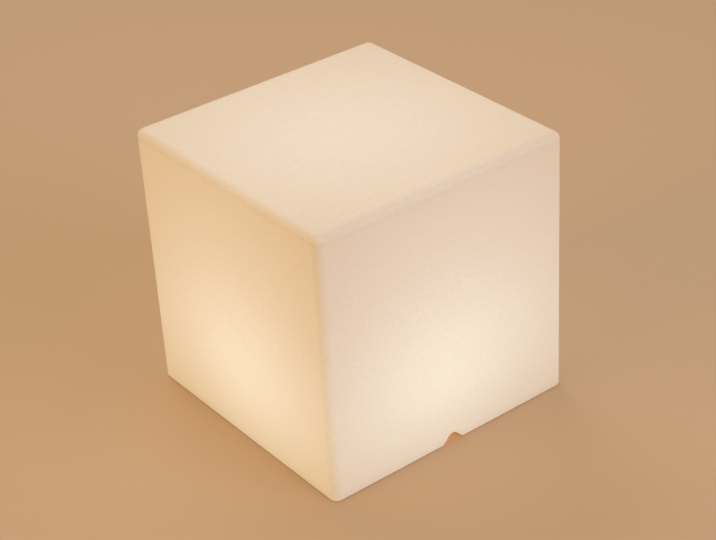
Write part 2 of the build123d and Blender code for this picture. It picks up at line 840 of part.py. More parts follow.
# ---------------------------------------------------------------- charge lamp
with BuildPart() as charge_led:
    with BuildSketch(Plane.XY.offset(control_bottom)):
        with Locations(pipe_place):
            Rectangle(charge_led_size, charge_led_size)
    extrude(amount=-charge_led_height)
write(charge_led, "charge_led")

with BuildPart() as charge_light:
    with BuildSketch(Plane.XY.offset(cover_face)):
        with Locations(pipe_place):
            Circle(pipe_radius)
    extrude(amount=control_bottom - charge_led_height - pipe_gap - cover_face)
    with BuildSketch(Plane.XY.offset(cover_seat)):
        with Locations(pipe_place):
            Circle(pipe_flange)
    extrude(amount=pipe_flange_thickness)
write(charge_light, "charge_light")

# ---------------------------------------------------------------- charging socket
jack_back = cover_face + jack_length

with BuildPart() as charge_jack:
    with BuildSketch(Plane.XY.offset(cover_face)):
        with Locations(jack_place):
            Circle(jack_flange_radius)
    extrude(amount=jack_flange_thickness)
    with BuildSketch(Plane.XY.offset(cover_face)):
        with Locations(jack_place):
            Circle(jack_radius)
    extrude(amount=jack_length)
    with BuildSketch(Plane.XY.offset(cover_face)):
        with Locations(jack_place):
            Circle(jack_bore)
    extrude(amount=jack_bore_depth, mode=Mode.SUBTRACT)
    chamfer(charge_jack.edges().group_by(Axis.Z)[0].sort_by(SortBy.RADIUS)[0], jack_bore_chamfer)
write(charge_jack, "charge_jack")

with BuildPart() as jack_pin:
    with BuildSketch(Plane.XY.offset(cover_face + jack_pin_setback)):
        with Locations(jack_place):
            Circle(jack_pin_radius)
    extrude(amount=jack_bore_depth - jack_pin_setback)
    fillet(jack_pin.edges().sort_by(Axis.Z)[0], jack_pin_round)
write(jack_pin, "jack_pin")

with BuildPart() as jack_nut:
    with BuildSketch(Plane.XY.offset(cover_seat)):
        with Locations(jack_place):
            RegularPolygon(nut_across_flats / 2, 6, major_radius=False)
            Circle(jack_radius + jack_play, mode=Mode.SUBTRACT)
    extrude(amount=nut_thickness)
write(jack_nut, "jack_nut")

with BuildPart() as jack_tags:
    with BuildSketch(Plane.XY.offset(jack_back)):
        with Locations((jack_x, control_y - tag_pitch / 2), (jack_x, control_y + tag_pitch / 2)):
            Rectangle(tag_thickness, tag_width)
    extrude(amount=tag_height)
write(jack_tags, "jack_tags")

# ---------------------------------------------------------------- socket flap
nib_radius = jack_bore - nib_play

with BuildPart() as socket_flap:
    with BuildSketch(Plane.XY.offset(flap_bottom)) as flap_plan:
        with Locations((jack_x, (hinge_y + flap_tip_y) / 2)):
            Rectangle(flap_width, hinge_y - flap_tip_y)
        fillet(flap_plan.vertices().group_by(Axis.Y)[0], flap_corner)
    extrude(amount=flap_thickness)
    # the edge at the fold is round, so that it turns clear of the cover
    with BuildSketch(Plane.YZ.offset(jack_x)):
        with Locations((hinge_y, hinge_z)):
            Circle(flap_thickness / 2)
    extrude(amount=flap_width / 2, both=True)
    # hollow nib that plugs the socket's mouth
    with BuildSketch(Plane.XY.offset(cover_face)):
        with Locations(jack_place):
            Circle(nib_radius)
    extrude(amount=nib_length)
    chamfer(socket_flap.edges().group_by(Axis.Z)[-1], nib_chamfer)
    with BuildSketch(Plane.XY.offset(cover_face)):
        with Locations(jack_place):
            Circle(nib_radius - nib_wall)
    extrude(amount=nib_length, mode=Mode.SUBTRACT)
    # pull ridge near the tip
    with BuildSketch(Plane.XY.offset(flap_bottom)):
        with Locations((jack_x, flap_tip_y + flap_ridge_inset)):
            SlotOverall(flap_width / 2, flap_ridge_width)
    extrude(amount=-flap_ridge)
write(socket_flap, "socket_flap")

with BuildPart() as flap_anchor:
    with BuildSketch(Plane.XY.offset(flap_bottom)):
        with Locations((jack_x, anchor_start_y)):
            Rectangle(flap_width, anchor_depth, align=(Align.CENTER, Align.MIN))
    extrude(amount=flap_thickness)
    fillet(flap_anchor.edges().filter_by(Axis.Z).group_by(Axis.Y)[-1], flap_ridge_inset)
    # thin web that reaches to the fold
    with BuildSketch(Plane.XY.offset(cover_face)):
        with Locations((jack_x, hinge_y + flap_thickness / 2 + fold_play / 2)):
            Rectangle(flap_width, anchor_depth / 2, align=(Align.CENTER, Align.MIN))
    extrude(amount=-anchor_web)
    with BuildSketch(Plane.XY.offset(cover_face)):
        with Locations(*stem_places):
            Circle(stem_radius)
    extrude(amount=cover_thickness)
    with BuildSketch(Plane.XY.offset(cover_seat)):
        with Locations(*stem_places):
            Circle(barb_radius)
    extrude(amount=barb_height, taper=barb_taper)
write(flap_anchor, "flap_anchor")


# ---------------------------------------------------------------- leads
def lead(name, points):
    """One insulated lead: straight runs joined by arcs as large as the runs allow."""
    runs = [Vector(*end) - Vector(*start) for start, end in zip(points, points[1:])]
    radii = []
    for before, after in zip(runs, runs[1:]):
        half_turn = math.radians(before.get_angle(after)) / 2
        radii.append(lead_bend_share * min(before.length, after.length) / math.tan(half_turn))
    with BuildPart() as wire:
        with BuildLine() as route:
            FilletPolyline(*points, radius=radii)
        with BuildSketch(Plane(origin=points[0], z_dir=runs[0])):
            Circle(lead_radius)
        sweep()
    length = route.wires()[0].length
    volume_ratio = wire.part.volume / (math.pi * lead_radius**2 * length)
    radii_text = ", ".join(f"{radius:.1f}" for radius in radii)
    print(f"{name}: {length:.1f} mm long, radii {radii_text}, volume ratio {volume_ratio:.4f}")
    write(wire, name)


bend_run = 9.5
loop_rise = 9.8
loop_span = 9.7
corner_clearance = 4.0
clamp_clearance = 2.4
tag_run = 5.5
plug_run = 5.0
solder_share = 0.6
over_board_z = plug_top + bend_run
loop_z = led_board_top + loop_rise
entry_z = control_top + connector_height / 2
tag_z = jack_back + tag_height * solder_share
tag_face = jack_x + tag_thickness / 2
plug_face = socket_plug[0] - connector_depth / 2

for colour, side in (("red", 1), ("black", -1)):
    start_x = positive_end + strip_thickness if side > 0 else negative_end
    outer_x = start_x + side * bend_run
    half_pitch = side * lead_pitch / 2
    battery_plug_x = battery_plug[0] + half_pitch
    lead(
        f"battery_lead_{colour}",
        [
            (start_x, cells_middle_y, cell_centre_z),
            (outer_x, cells_middle_y, cell_centre_z),
            (outer_x, cell_start_y - corner_clearance, cell_centre_z),
            ((outer_x + battery_plug_x) / 2, clamp_near_y - clamp_clearance, over_board_z),
            (battery_plug_x, battery_plug[1], over_board_z),
            (battery_plug_x, battery_plug[1], plug_top),
        ],
    )
    lead(
        f"led_lead_{colour}",
        [
            (half_pitch, lead_hole_y, plug_top),
            (half_pitch, lead_hole_y, loop_z),
            (half_pitch + side * loop_span, lead_hole_y, loop_z),
            (half_pitch + side * loop_span, lead_hole_y, led_board_top),
        ],
    )
    tag_y = control_y + side * tag_pitch / 2
    lead(
        f"socket_lead_{colour}",
        [
            (tag_face, tag_y, tag_z),
            (tag_face + tag_run, tag_y, tag_z),
            (plug_face - plug_run, socket_plug[1] + half_pitch, entry_z),
            (plug_face, socket_plug[1] + half_pitch, entry_z),
        ],
    )
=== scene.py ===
import math

import bmesh
import bpy
from mathutils import Matrix, Vector


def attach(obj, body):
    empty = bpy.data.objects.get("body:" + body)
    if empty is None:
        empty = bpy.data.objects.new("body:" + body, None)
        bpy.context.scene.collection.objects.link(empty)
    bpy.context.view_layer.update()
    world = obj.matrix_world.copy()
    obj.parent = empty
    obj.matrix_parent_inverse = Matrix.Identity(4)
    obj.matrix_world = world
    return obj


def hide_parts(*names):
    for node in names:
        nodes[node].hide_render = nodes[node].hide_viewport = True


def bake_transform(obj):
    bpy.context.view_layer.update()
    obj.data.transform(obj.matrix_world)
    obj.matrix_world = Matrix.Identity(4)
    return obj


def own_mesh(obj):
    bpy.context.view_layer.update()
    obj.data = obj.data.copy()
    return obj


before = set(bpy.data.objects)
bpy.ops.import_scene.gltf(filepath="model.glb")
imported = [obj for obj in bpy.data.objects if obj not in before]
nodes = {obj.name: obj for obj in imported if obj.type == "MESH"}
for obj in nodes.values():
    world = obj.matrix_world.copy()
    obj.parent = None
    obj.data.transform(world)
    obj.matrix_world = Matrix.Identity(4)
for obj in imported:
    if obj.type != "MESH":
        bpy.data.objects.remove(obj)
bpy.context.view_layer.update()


# ------------------------------------------------------------------ camera
# The photograph is taken standing up, from about 2.5 m away with a long lens,
# so the cube's upright edges draw together only a little towards the floor.
def looking(place, aim):
    """Where a camera or a light at that place stands when it is turned to the aim."""
    turn = (aim - place).to_track_quat("-Z", "Y").to_matrix().to_4x4()
    return Matrix.Translation(place) @ turn


camera_place = Vector((-1.288, -1.751, 1.5118))
camera_aim = Vector((-0.0012, -0.0105, 0.1859))
camera_roll = math.radians(-3.518)
photo_focal = 1867.5
photo_width = 716
sensor_width = 36.0
clip_start = 0.01

camera_data = bpy.data.cameras.new("photo_camera")
camera_data.sensor_width = sensor_width
camera_data.lens = photo_focal / photo_width * sensor_width
camera_data.clip_start = clip_start
camera = bpy.data.objects.new("photo_camera", camera_data)
camera.matrix_world = looking(camera_place, camera_aim) @ Matrix.Rotation(camera_roll, 4, "Z")
bpy.context.scene.collection.objects.link(camera)
bpy.context.scene.camera = camera
bpy.context.scene.view_settings.view_transform = "Standard"


# ------------------------------------------------------------------ moulded shell
# One hollow polyethylene moulding with a 4 mm wall and a matt, faintly rippled skin. The light
# stands low inside it, a little off the middle, so each face glows widest a third of the way up.
# Its round edges glow less, as painted shade, and light comes orange through the walls of the cable
# channel.
class Flow:
    """A value, colour or vector on its way through a finish. Arithmetic on it adds Math nodes."""

    def __init__(self, tree, socket=None):
        self.tree, self.socket = tree, socket

    def node(self, kind, *values, out=0, settings=None, **named):
        """Any other node: its settings, then its sockets by place (None skips one) or by name."""
        made = self.tree.nodes.new("ShaderNode" + kind)
        for name, value in (settings or {}).items():
            setattr(made, name, value)
        placed = list(enumerate(values))
        placed += [(name.replace("_", " "), value) for name, value in named.items()]
        for key, value in placed:
            if value is None:
                continue
            socket = made.inputs[key]
            if isinstance(value, Flow):
                self.tree.links.new(value.socket, socket)
            elif hasattr(value, "__len__") and len(value) < len(socket.default_value):
                socket.default_value = (*value, 1.0)
            else:
                socket.default_value = value
        return Flow(self.tree, made.outputs[out] if made.outputs else None)

    def maths(self, operation, *values):
        return self.node("Math", *values, settings={"operation": operation})

    def vector(self, operation, *values, out=0):
        return self.node("VectorMath", *values, out=out, settings={"operation": operation})

    def parts(self):
        """The vector's x, y and z."""
        split = self.node("SeparateXYZ", self).socket.node
        return [Flow(self.tree, output) for output in split.outputs]

    def rise(self, low, high):
        """Climbs smoothly from 0 to 1 as the value goes from low to high."""
        settings = {"interpolation_type": "SMOOTHSTEP"}
        return self.node("MapRange", self, low, high, 0.0, 1.0, settings=settings)

    def blend(self, first, second):
        """Goes from the first colour to the second as the value goes from 0 to 1."""
        skipped = [None] * 5
        settings = {"data_type": "RGBA"}
        return self.node("Mix", self, *skipped, first, second, out=2, settings=settings)

    def __abs__(self):
        return self.maths("ABSOLUTE", self)

    def __add__(self, other):
        return self.maths("ADD", self, other)

    def __sub__(self, other):
        return self.maths("SUBTRACT", self, other)

    def __rsub__(self, other):
        return self.maths("SUBTRACT", other, self)

    def __mul__(self, other):
        return self.maths("MULTIPLY", self, other)

    def __truediv__(self, other):
        return self.maths("DIVIDE", self, other)

    def __pow__(self, other):
        return self.maths("POWER", self, other)


def finish(name, *wearers):
    """A new finish, put on these CAD nodes: its first flow and the place on the piece."""
    material = bpy.data.materials.new(name)
    material.use_nodes = True
    material.node_tree.nodes.clear()
    for wearer in wearers:
        nodes[wearer].material_slots[0].material = material
    start = Flow(material.node_tree)
    return start, start.node("TexCoord", out="Object")


def skin(start, **sockets):
    """Ends a finish in one surface with these sockets."""
    start.node("OutputMaterial", start.node("BsdfPrincipled", **sockets))


def facing(start):
    """Which way the surface looks, in the lamp's own directions."""
    return start.node("TexCoord", out="Normal")


def noise(place, size, detail=2.0):
    """Cloudy noise whose blots are about that size, in metres."""
    return place.node("TexNoise", Vector=place, Scale=1 / size, Detail=detail)


dark = (0.0, 0.0, 0.0)
shell_colour, shell_roughness = (0.48, 0.45, 0.41), 0.6
ripple_size, ripple_depth = 0.009, 0.00005
grain_size, grain_depth = 0.0008, 0.00002
foot_dust, foot_dust_share = (0.30, 0.24, 0.18), 0.3
foot_dust_size, foot_dust_height = 0.012, 0.006
cloud_size, cloud_share, cloud_gloss = 0.05, 0.04, 0.06
mottle_size, mottle_share, clear_share = 0.005, 0.6, 0.68
glow_centre = (-0.010, -0.013, 0.023)
glow_spread = 0.306  # added to the upward part of the ray, so that light goes sideways too
glow_soft = 0.0201  # added to the squared distance, because the source is no point
glow_edge = 0.400  # power of the cosine, for how much it weakens where it grazes the wall
glow_reach = 0.4  # the distance for which the direct colour is stated
glow_colour = (0.1495, 0.1745, 0.1710)
# the glow from inside, and near the floor a stronger one that is partly painted light for the
# floor's bounce
glow_even, low_glow_and_painted_bounce, low_glow_and_bounce_height = (0.250, 0.121, 0.031), (0.301, 0.196, 0.097), 0.30
middle_height = 0.199
# painted shade on the round edges: where it starts and ends, and how much glow it takes off
edge_shade_starts, edge_shade_ends = (0.187, 0.184, 0.179), (0.199, 0.198, 0.195)
painted_edge_shade = (0.054, 0.053, 0.043)
channel_side, channel_top, channel_mouth = (0.014, 0.020), (0.012, 0.018), (-0.1990, -0.1960)
channel_glow = (0.30, 0.15, 0.055)

start, place = finish("shell_finish", "cube_shell")
across, along, height = place.parts()
cloud = noise(place, cloud_size, detail=3.0).rise(0.2, 0.8)

# straight from the module: less with the distance, and less where it grazes the wall
ray = start.vector("SUBTRACT", place, glow_centre)
far = start.vector("LENGTH", ray, out="Value")
lit = start.vector("DOT_PRODUCT", ray, facing(start), out="Value") / far
lit = start.maths("MAXIMUM", lit, 0.0) ** glow_edge
upward = start.maths("MAXIMUM", ray.parts()[2] / far, 0.0)
direct = lit * (upward + glow_spread) / (far * far + glow_soft) * glow_reach**2
mottle = noise(place, mottle_size, detail=6.0)
direct = direct * (cloud * cloud_share + mottle * mottle_share + clear_share)
direct = start.node("CombineXYZ", *(direct * part for part in glow_colour))

# light that has gone round inside, stronger and whiter near the floor, where it is also painted
# light for the bounce off the floor
inner_and_bounce_glow = height.rise(0.0, low_glow_and_bounce_height).blend(low_glow_and_painted_bounce, glow_even)
glow = start.vector("ADD", direct, inner_and_bounce_glow)

# painted shade on the round edges, where two of the three distances from the middle are large
from_middle = start.vector("SUBTRACT", place, (0.0, 0.0, middle_height))
from_middle = start.vector("ABSOLUTE", from_middle)
near_x, near_y, near_z = map(Flow.rise, from_middle.parts(), edge_shade_starts, edge_shade_ends)
edge_shade_mask = near_x * near_y + near_y * near_z + near_z * near_x
glow = start.vector("SUBTRACT", glow, edge_shade_mask.blend(dark, painted_edge_shade))

# the walls of the cable channel. A known fault: nothing bounds this towards +Y, so it also
# lights a strip of the underside beyond the recess and a patch at the foot of the far face
channel = (1 - abs(across).rise(*channel_side)) * (1 - height.rise(*channel_top))
channel = channel * along.rise(*channel_mouth)
glow = start.vector("ADD", glow, channel.blend(dark, channel_glow))
glow = start.vector("MAXIMUM", glow, dark)

low = 1 - height.rise(0.001, foot_dust_height)
dusty = low * noise(place, foot_dust_size, detail=6.0).rise(0.35, 0.75) * foot_dust_share
grain = start.node("Bump", Distance=grain_depth, Height=noise(place, grain_size))
ripple = start.node("Bump", Distance=ripple_depth, Height=noise(place, ripple_size), Normal=grain)
skin(
    start,
    Base_Color=dusty.blend(shell_colour, foot_dust),
    Roughness=cloud * cloud_gloss + dusty * 0.2 + shell_roughness,
    Emission_Color=glow,
    Emission_Strength=1.0,
    Normal=ripple,
)


# ------------------------------------------------------------------ rubber feet
# Four round grey rubber pads, stuck into shallow seats near the corners of the underside.
# Each has fine rings moulded into its face, which grip the floor and hold a little dust.
blot_size, dust_share, gloss_span = 0.008, 0.35, 0.14


def moulded(name, wearers, colour, dust, roughness, grain, depth, relief=None, relief_depth=0.0):
    """A moulded plastic or rubber finish with clouded gloss and settled dust.

    grain and depth are those of its fine texture. relief takes the place on the piece and
    gives a pattern that is raised by relief_depth.
    """
    start, place = finish(name, *wearers)
    cloud = noise(place, blot_size, detail=4.0)
    normal = start.node("Bump", Distance=depth, Height=noise(place, grain))
    if relief:
        normal = start.node("Bump", Distance=relief_depth, Height=relief(place), Normal=normal)
    skin(
        start,
        Base_Color=(cloud.rise(0.4, 0.8) * dust_share).blend(colour, dust),
        Roughness=cloud.rise(0.3, 0.7) * gloss_span + (roughness - gloss_span / 2),
        Normal=normal,
    )
    return bpy.data.materials[name]


def from_axis(place, x, y, mirrored=False):
    """Distance from an upright axis at x, y, or from its mirror images in the four quarters too."""
    if mirrored:
        place = place.vector("ABSOLUTE", place)
    level = place.vector("MULTIPLY", place, (1.0, 1.0, 0.0))
    return place.vector("DISTANCE", level, (x, y, 0.0), out="Value")


pad_place = 0.168
pad_ring_pitch, pad_ring_depth = 0.0016, 0.0002
pad_rubber, pad_dust = (0.16, 0.16, 0.165), (0.28, 0.26, 0.23)


def pad_rings(place):
    rings = from_axis(place, pad_place, pad_place, mirrored=True) * (math.tau / pad_ring_pitch)
    return place.maths("SINE", rings)


moulded(
    "pad_rubber", ["foot_pads"], pad_rubber, pad_dust,
    roughness=0.75, grain=0.0005, depth=0.00004, relief=pad_rings, relief_depth=pad_ring_depth,
)


# ------------------------------------------------------------------ threaded inserts
# Six knurled brass inserts, pressed hot into the bosses over the recess.
# The module's screws run in them, so it can be taken out and put back many times.
def sector(place, count, first=0.0):
    """The place turned about the lamp's axis into one of count equal sectors, round +X."""
    x, y, _ = place.parts()
    step = math.tau / count
    turns = place.maths("ROUND", (place.maths("ARCTAN2", y, x) - first) / step)
    back = 0 - (turns * step + first)
    settings = {"rotation_type": "Z_AXIS"}
    return place.node("VectorRotate", Vector=place, Angle=back, settings=settings)


def around(centred):
    """The angle round an upright axis through zero."""
    x, y, _ = centred.parts()
    return centred.maths("ARCTAN2", y, x)


def on_sides(start):
    """1 on upright surfaces, 0 on level ones."""
    return 1 - abs(facing(start).parts()[2]).rise(0.2, 0.5)


fixing_circle, fixing_count, fixing_first = 0.06702, 6, math.radians(30)
knurl_pitch, knurl_count, knurl_depth = 0.0009, 20, 0.00015
brass, brass_dull = (0.78, 0.52, 0.20), (0.46, 0.28, 0.11)
stain_size = 0.002

start, place = finish("turned_brass", "threaded_inserts")
to_insert = (fixing_circle, 0.0, 0.0)
centred = start.vector("SUBTRACT", sector(place, fixing_count, fixing_first), to_insert)
spiral = around(centred) * knurl_count
climb = place.parts()[2] * (math.tau / knurl_pitch)
knurl = start.maths("SINE", spiral + climb) * start.maths("SINE", spiral - climb)
stain = noise(place, stain_size, detail=4.0).rise(0.4, 0.7)
skin(
    start,
    Base_Color=(stain * 0.5).blend(brass, brass_dull),
    Metallic=1.0,
    Roughness=stain * 0.15 + 0.28,
    Normal=start.node("Bump", Distance=knurl_depth, Height=knurl * on_sides(start)),
)

# ------------------------------------------------------------------ gaskets and seal rings
# Black silicone: the flat gasket under the module's flange, the round rings that lie in the
# grooves of the cover and the dome, and the membrane behind the button.
seal_colour, seal_dust = (0.022, 0.022, 0.023), (0.05, 0.05, 0.05)
seals = ["module_gasket", "cover_seal", "dome_seal", "button_membrane"]
seal_finish = moulded(
    "seal_rubber", seals, seal_colour, seal_dust, roughness=0.5, grain=0.0004, depth=0.00001
)

# ------------------------------------------------------------------ module housing and dome ring
# Light grey ABS, moulded with a fine spark-eroded texture. The body stands in the shell
# and the screw ring of its flange closes the recess.
housing_colour, housing_dust = (0.60, 0.60, 0.575), (0.50, 0.49, 0.45)
housing = ["module_housing", "dome_bezel"]
moulded(
    "housing_plastic", housing, housing_colour, housing_dust,
    roughness=0.5, grain=0.0006, depth=0.00003,
)


# ------------------------------------------------------------------ LED board
# A white-masked aluminium board on the deck, with a copper ring track under each circle of LEDs.
# Each LED is a white case with a well of yellow phosphor.
def on_level(start):
    """1 on level surfaces, 0 on upright ones."""
    return abs(facing(start).parts()[2]).rise(0.4, 0.6)


def on_top(start):
    """1 on surfaces that look up, 0 on all others."""
    return facing(start).parts()[2].rise(0.4, 0.6)


def diagonal(first, second):
    """The length over two distances that are square to each other."""
    return first.maths("SQRT", first * first + second * second)


inner_ring, outer_ring = 0.018, 0.036
ring_middle, ring_half = (inner_ring + outer_ring) / 2, (outer_ring - inner_ring) / 2
led_ring_count = 16


def from_led(place):
    """Distance from the middle of the nearest LED, seen from above."""
    x, y, _ = sector(place, led_ring_count).parts()
    return diagonal(abs(x - ring_middle) - ring_half, y)


track_width, track_depth = 0.0016, 0.00004
mask_white, mask_over_copper = (0.80, 0.80, 0.77), (0.70, 0.71, 0.66)
board_edge = (0.55, 0.56, 0.57)
fibre_size = 0.0012

start, place = finish("white_board", "led_board")
off_ring = abs(abs(from_axis(place, 0.0, 0.0) - ring_middle) - ring_half)
track = 1 - off_ring.rise(track_width * 0.9, track_width)
flat = on_level(start)
weave = noise(place, fibre_size)
skin(
    start,
    Base_Color=flat.blend(board_edge, track.blend(mask_white, mask_over_copper)),
    Metallic=1 - flat,
    Roughness=weave * 0.1 + 0.28,
    Normal=start.node("Bump", Distance=track_depth, Height=track + weave * 0.15),
)

well_radius, well_depth, speckle_size = 0.0019, 0.0001, 0.0003
case_white, phosphor, phosphor_light = (0.82, 0.81, 0.76), (0.85, 0.58, 0.10), (1.0, 0.74, 0.38)
led_strength = 2.0

start, place = finish("led_case", "led_chips", "charge_led")
well = (1 - from_led(place).rise(well_radius, well_radius * 1.1)) * on_top(start)
speckle = noise(place, speckle_size, detail=3.0)
skin(
    start,
    Base_Color=well.blend(case_white, phosphor),
    Roughness=well * 0.3 + speckle * 0.1 + 0.3,
    Emission_Color=well.blend(dark, phosphor_light),
    Emission_Strength=led_strength,
    Normal=start.node("Bump", Distance=well_depth, Height=speckle * 0.2 - well),
)

# ------------------------------------------------------------------ diffuser dome
# Opal polycarbonate over the LEDs, frosted inside. Lit, it shows a soft bright spot above each LED.
dome_colour, frost_size, frost_depth = (0.80, 0.79, 0.75), 0.0005, 0.00001
dome_even, dome_spot, dome_spot_radius = (0.34, 0.27, 0.17), (0.95, 0.80, 0.55), 0.011
dome_strength = 0.6

start, place = finish("opal_dome", "diffuser_dome")
spot = 1 - from_led(place).rise(0.0, dome_spot_radius)
frost = noise(place, frost_size, detail=3.0)
skin(
    start,
    Base_Color=dome_colour,
    Roughness=frost * 0.12 + 0.32,
    Emission_Color=spot.blend(dome_even, dome_spot),
    Emission_Strength=dome_strength,
    Normal=start.node("Bump", Distance=frost_depth, Height=frost),
)

# ------------------------------------------------------------------ battery
# Two round cells in blue shrink sleeves, joined by spot-welded nickel strips and held down by
# a black nylon clamp. The can shows at one end, a white ring round the button at the other.
cells_middle, cell_pitch, cell_axis = 0.0200, 0.0190, 0.0398
sleeve_edge, button_edge = 0.0074, 0.0034
sleeve_blue, sleeve_pale = (0.02, 0.10, 0.32), (0.05, 0.17, 0.40)
can_steel, ring_white = (0.62, 0.60, 0.56), (0.75, 0.75, 0.72)
wrinkle_size, wrinkle_depth, wrinkle_run = 0.0012, 0.00012, (0.12, 1.0, 1.0)

start, place = finish("shrink_sleeve", "battery_cells")
x, y, z = place.parts()
from_core = diagonal(abs(y - cells_middle) - cell_pitch / 2, z - cell_axis)
bare = 1 - from_core.rise(sleeve_edge - 0.0002, sleeve_edge)
button = 1 - from_core.rise(button_edge - 0.0001, button_edge)
ringed = bare * (1 - button) * x.rise(0.0, 0.001)
metal = bare * (1 - ringed)
ends = abs(x).rise(0.024, 0.033)
wrinkle = noise(start.vector("MULTIPLY", place, wrinkle_run), wrinkle_size, detail=3.0)
sleeve = (wrinkle * 0.7).blend(sleeve_blue, sleeve_pale)
wrinkled = wrinkle * (ends * 0.8 + 0.2)
skin(
    start,
    Base_Color=ringed.blend(metal.blend(sleeve, can_steel), ring_white),
    Metallic=metal,
    Roughness=wrinkle * 0.12 + 0.24,
    Normal=start.node("Bump", Distance=wrinkle_depth, Height=wrinkled),
)

weld_offset, weld_radius, weld_depth = 0.0011, 0.0005, 0.0001
nickel, weld_dark = (0.66, 0.64, 0.60), (0.30, 0.28, 0.26)
rolling_size, rolling_run = 0.0002, (1.0, 0.05, 1.0)

start, place = finish("spot_welded_nickel", "nickel_strips")
x, y, z = place.parts()
beside = abs(abs(y - cells_middle) - cell_pitch / 2) - weld_offset
above = abs(z - cell_axis) - weld_offset
weld = 1 - diagonal(beside, above).rise(weld_radius * 0.5, weld_radius)
rolled = noise(start.vector("MULTIPLY", place, rolling_run), rolling_size)
skin(
    start,
    Base_Color=(weld * 0.7).blend(nickel, weld_dark),
    Metallic=1.0,
    Roughness=rolled * 0.15 + weld * 0.2 + 0.22,
    Normal=start.node("Bump", Distance=weld_depth, Height=rolled * 0.05 - weld),
)

nylon_black, nylon_pale = (0.025, 0.025, 0.026), (0.05, 0.05, 0.052)
nylon = ["battery_clamp", "membrane_ring", "switch_body"]
moulded("black_nylon", nylon, nylon_black, nylon_pale, roughness=0.48, grain=0.0005, depth=0.00002)

# ------------------------------------------------------------------ control board
# A green-masked glass-fibre board with its charger and driver parts, on four standoffs of the
# cover. Copper tracks show through the mask as paler lines, with small tinned holes between them.
mask_green, mask_on_copper, fibre = (0.010, 0.075, 0.030), (0.030, 0.17, 0.065), (0.45, 0.42, 0.24)
tin, hole_pitch = (0.62, 0.61, 0.58), 0.0032
copper_length, copper_pitch, copper_gap, copper_stagger = 0.0046, 0.0011, 0.00016, 0.37
copper_depth, mask_blot = 0.00004, 0.0015

start, place = finish("green_board", "control_board")
track = start.node(
    "TexBrick",
    Vector=place,
    Scale=1.0,
    Mortar_Size=copper_gap,
    Brick_Width=copper_length,
    Row_Height=copper_pitch,
    out="Fac",
    settings={"offset": copper_stagger},
)
cells = start.node("TexVoronoi", Vector=place, Scale=1 / hole_pitch, Randomness=0.8, out="Distance")
hole = 1 - cells.rise(0.12, 0.15)
flat = on_level(start)
masked = track.blend(mask_green, mask_on_copper)
skin(
    start,
    Base_Color=flat.blend(fibre, hole.blend(masked, tin)),
    Metallic=hole * flat,
    Roughness=noise(place, mask_blot) * 0.12 + 0.25,
    Normal=start.node("Bump", Distance=copper_depth, Height=track * 0.8 + hole),
)

capacitors_x, capacitors_y, capacitors_apart, can_top = 0.029, -0.02575, 0.0075, 0.0027
cans_from, cans_to = 0.0355, 0.0365
part_black, part_grey, can_metal = (0.018, 0.018, 0.019), (0.06, 0.06, 0.065), (0.72, 0.72, 0.73)
pit_size, score_depth = 0.0004, 0.00008

start, place = finish("board_part_black", "board_parts")
x, y, z = place.parts()
across, along = x - capacitors_x, abs(y - capacitors_y) - capacitors_apart / 2
can = 1 - diagonal(across, along).rise(can_top - 0.0001, can_top)
can = can * on_top(start) * z.rise(cans_from, cans_to)
score = start.maths("MINIMUM", abs(across), abs(along))
score = can * (1 - score.rise(0.0001, 0.0002))
pitted = noise(place, pit_size, detail=3.0)
skin(
    start,
    Base_Color=can.blend(pitted.rise(0.3, 0.8).blend(part_black, part_grey), can_metal),
    Metallic=can,
    Roughness=0.5 - can * 0.2 + pitted * 0.1,
    Normal=start.node("Bump", Distance=score_depth, Height=pitted * 0.2 - score),
)

plug_colour, plug_dust = (0.72, 0.71, 0.66), (0.60, 0.57, 0.48)
plugs = ["board_connectors", "switch_plunger"]
moulded("plug_nylon", plugs, plug_colour, plug_dust, roughness=0.42, grain=0.0005, depth=0.00001)

# ------------------------------------------------------------------ power button
# Dark grey silicone with a dished face, worn smooth in the middle by fingers. The usual
# ring and bar of a power symbol stand a third of a millimetre proud in the dish.
button_x, button_y = 0.020, -0.022
button_radius = 0.0067
button_grey, button_worn = (0.050, 0.053, 0.058), (0.075, 0.078, 0.082)
button_grain, button_grain_depth = 0.0003, 0.00002
touch_size = 0.002

start, place = finish("button_silicone", "power_button")
worn = 1 - from_axis(place, button_x, button_y).rise(0.001, button_radius)
grain = noise(place, button_grain) * (1 - worn * 0.7)
skin(
    start,
    Base_Color=worn.blend(button_grey, button_worn),
    Roughness=0.62 - worn * 0.22 + noise(place, touch_size, detail=3.0) * 0.1,
    Normal=start.node("Bump", Distance=button_grain_depth, Height=grain),
)

symbol_radius, symbol_tube = 0.0027, 0.00034
symbol_gap = math.radians(70)
symbol_sides, symbol_steps, ball_fineness = 12, 40, 2
ball_radius = symbol_tube * 0.995
bar_far, bar_near = 0.0033, 0.0010
dish_floor, dish_curve = 0.01830, 0.0325
symbol_white, symbol_rubbed = (0.55, 0.55, 0.54), (0.20, 0.20, 0.205)


def new_piece(name, shape, material):
    """Ends a bmesh as an object of that name, unturned at zero, with that finish."""
    mesh = bpy.data.meshes.new(name)
    shape.to_mesh(mesh)
    shape.free()
    mesh.materials.append(material)
    made = bpy.data.objects.new(name, mesh)
    bpy.context.scene.collection.objects.link(made)
    return made


def dish_z(radius):
    """Height of the button's dished face at that distance from its middle."""
    return dish_floor - radius**2 / (2 * dish_curve)


